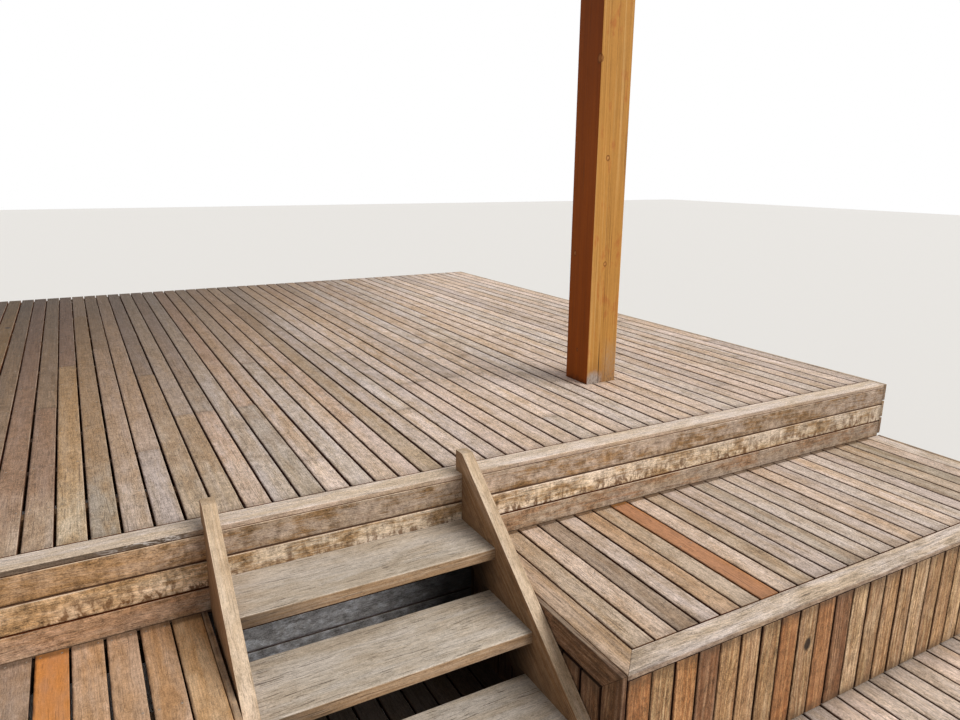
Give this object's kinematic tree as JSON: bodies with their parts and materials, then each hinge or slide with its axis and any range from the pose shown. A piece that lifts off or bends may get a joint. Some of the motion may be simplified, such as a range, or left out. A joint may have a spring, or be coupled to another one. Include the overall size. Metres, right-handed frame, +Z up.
{
  "type": "deck stairs",
  "caption": "Weathered timber deck with an open flight between two stringers, boarded platforms on both sides of it, a lower deck at its foot and a square verandah post.",
  "frame": {"origin": "on the ground, under the middle of the plan", "axes": "+Z up, +Y back towards the house wall, +X to the right seen from the foot of the flight"},
  "size_m": [5.24, 6.98, 3.457],
  "materials": {
    "weathered_boards": "weathered hardwood, uncoated",
    "pale_border": "weathered hardwood, greyed",
    "warm_fascia": "weathered hardwood with warm patches",
    "skirt_boards": "weathered hardwood, boards of different tones",
    "shaded_boards": "weathered hardwood, grey and dirty",
    "framing": "rough sawn timber",
    "stringer_timber": "weathered hardwood",
    "tread_timber": "weathered hardwood, worn",
    "stained_post": "stained hardwood, worn at the base"
  },
  "bodies": {
    "root": {"deck_boards": "weathered_boards", "deck_front_border": "pale_border", "deck_front_fascia": "warm_fascia", "deck_side_fascia": "warm_fascia", "deck_rims": "framing", "house_ledger": "framing", "deck_joists": "framing", "deck_bearers": "framing", "deck_stumps": "framing", "stair_back_boards": "shaded_boards", "left_stringer": "stringer_timber", "right_stringer": "stringer_timber", "top_tread": "tread_timber", "middle_tread": "tread_timber", "bottom_tread": "tread_timber", "lower_deck_boards": "weathered_boards", "lower_deck_border": "pale_border", "lower_deck_fascia": "warm_fascia", "lower_deck_joists": "framing", "lower_deck_bearers": "framing", "lower_deck_stumps": "framing", "verandah_post": "stained_post", "right_platform_boards": "weathered_boards", "right_platform_border": "pale_border", "right_side_trim": "skirt_boards", "right_side_boards": "skirt_boards", "right_front_skirt": "skirt_boards", "right_skirt_rails": "framing", "right_platform_joists": "framing", "right_platform_bearers": "framing", "right_platform_stumps": "framing", "left_platform_boards": "weathered_boards", "left_platform_border": "pale_border", "left_side_trim": "skirt_boards", "left_side_boards": "skirt_boards", "left_front_skirt": "skirt_boards", "left_skirt_rails": "framing", "left_platform_joists": "framing", "left_platform_bearers": "framing", "left_platform_stumps": "framing"}
  },
  "joints": []
}
